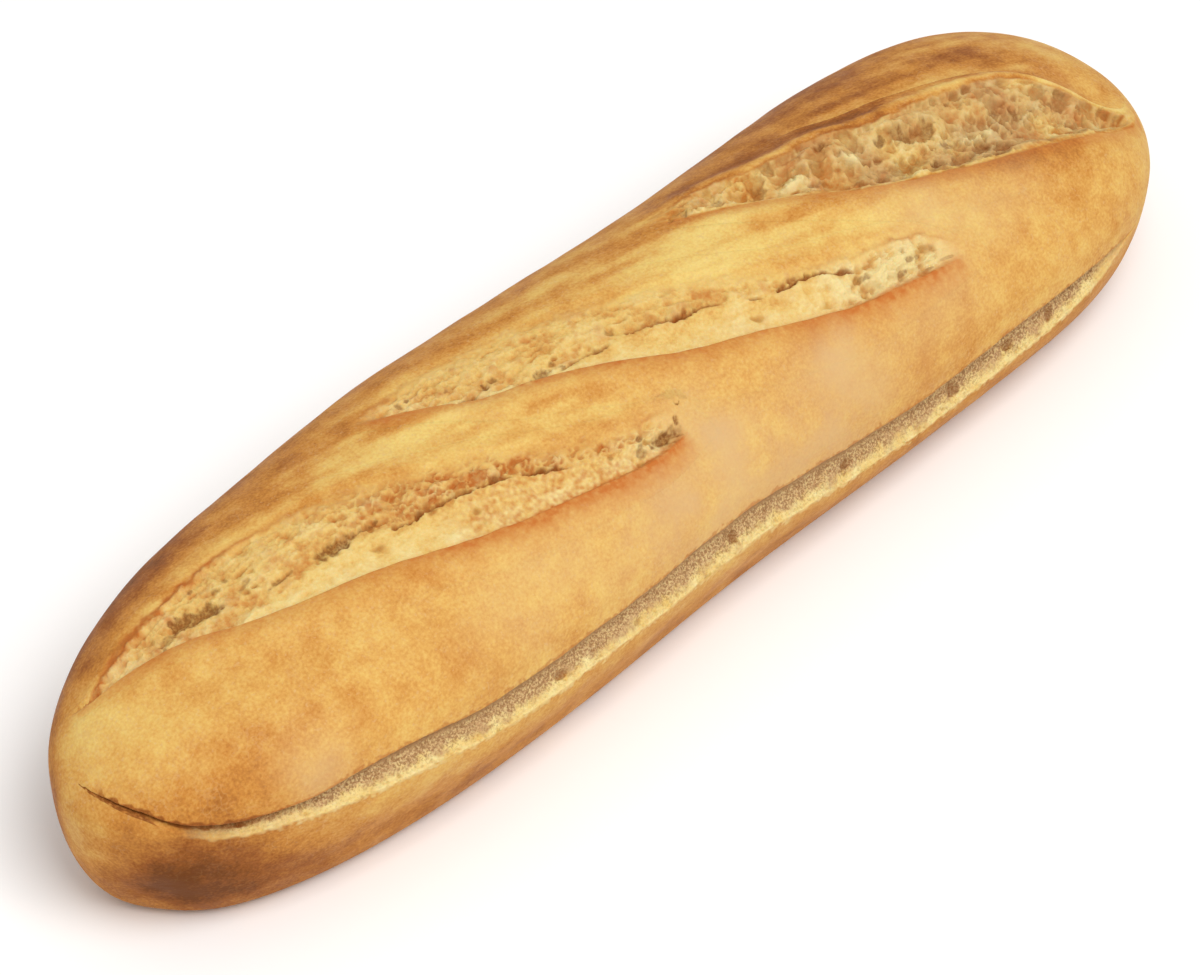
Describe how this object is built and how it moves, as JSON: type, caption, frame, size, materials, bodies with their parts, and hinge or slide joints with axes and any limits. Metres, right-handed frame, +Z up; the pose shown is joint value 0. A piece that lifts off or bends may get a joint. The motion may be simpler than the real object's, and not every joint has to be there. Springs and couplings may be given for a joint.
{
  "type": "baguette-shaped cornbread loaf",
  "caption": "Short golden loaf, rounded on top and flat beneath, with slanting craggy slashes across its top and a long split along one side.",
  "frame": {"origin": "middle of the loaf's box, on the flat underside it rests on", "axes": "+X along the loaf towards its blunter end, +Y towards the side without the split, +Z up"},
  "size_m": [0.28, 0.0737, 0.0526],
  "materials": {
    "crust": "matte golden crust with pale yellow crumb in the slashes"
  },
  "bodies": {
    "root": {"loaf": "crust"}
  },
  "joints": []
}
